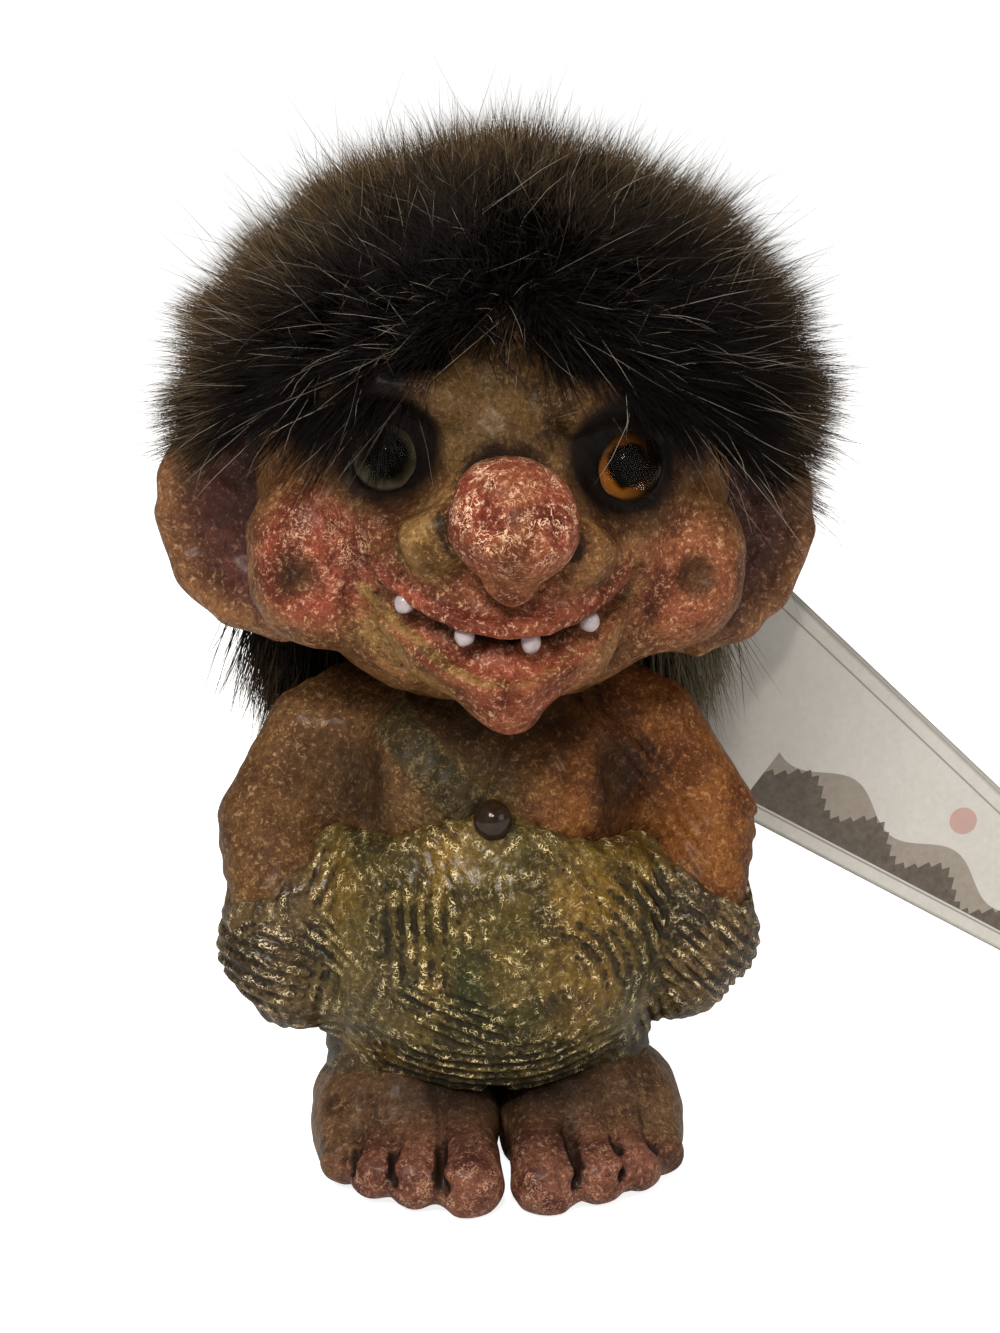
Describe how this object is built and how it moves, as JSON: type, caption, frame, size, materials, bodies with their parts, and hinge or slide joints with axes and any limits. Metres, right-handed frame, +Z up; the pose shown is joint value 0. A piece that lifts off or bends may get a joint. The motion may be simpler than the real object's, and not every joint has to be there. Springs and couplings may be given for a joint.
{
  "type": "troll figure",
  "caption": "Small standing troll figure of painted rubber with a fur wig, glass eyes, a lacquered trouser belly and a folded card tag on a pin at its back.",
  "frame": {"origin": "on the floor, on the middle plane where the two feet meet, under the figure", "axes": "+X to the viewer's right of the face, -Y where the face looks, +Z up from the floor"},
  "size_m": [0.1301, 0.0893, 0.1367],
  "materials": {
    "painted_skin": "satin",
    "painted_trousers": "gloss",
    "painted_strap": "satin",
    "eye_glass": "polished",
    "iris_lacquer": "gloss",
    "pupil_lacquer": "gloss",
    "eye_wire": "satin",
    "tooth_bead": "gloss",
    "button_lacquer": "gloss",
    "wig_skin": "matte",
    "wig_hair": "satin",
    "soft_filling": "matte",
    "dowel_wood": "matte",
    "tag_pin_brass": "polished",
    "tag_card": "matte"
  },
  "bodies": {
    "figure": {"head": "painted_skin", "left_ear": "painted_skin", "right_ear": "painted_skin", "torso": "painted_skin", "trousers": "painted_trousers", "left_foot": "painted_skin", "right_foot": "painted_skin", "left_eye_glass": "eye_glass", "left_eye_iris": "iris_lacquer", "left_eye_pupil": "pupil_lacquer", "left_eye_wire": "eye_wire", "right_eye_glass": "eye_glass", "right_eye_iris": "iris_lacquer", "right_eye_pupil": "pupil_lacquer", "right_eye_wire": "eye_wire", "tooth_1": "tooth_bead", "tooth_2": "tooth_bead", "tooth_3": "tooth_bead", "tooth_4": "tooth_bead", "trouser_button": "button_lacquer", "shoulder_strap": "painted_strap", "wig_backing": "wig_skin", "wig_fur": "wig_hair", "left_nape_lock": "wig_hair", "right_nape_lock": "wig_hair", "head_core": "soft_filling", "body_core": "soft_filling", "neck_dowel": "dowel_wood", "tag_pin": "tag_pin_brass"},
    "tag": {"tag_front_leaf": "tag_card"},
    "tag_flap": {"tag_back_leaf": "tag_card"}
  },
  "joints": [
    {"name": "tag_swivel", "type": "hinge", "parent": "figure", "child": "tag", "pos_m": [0.016, 0.0188, 0.063], "axis": [0, -1, 0], "range_deg": [-17, 5]},
    {"name": "tag_leaf_hinge", "type": "hinge", "parent": "tag", "child": "tag_flap", "pos_m": [0.03793, 0.01895, 0.0759], "axis": [0.7225, 0, -0.6914], "range_deg": [0, 100]}
  ]
}
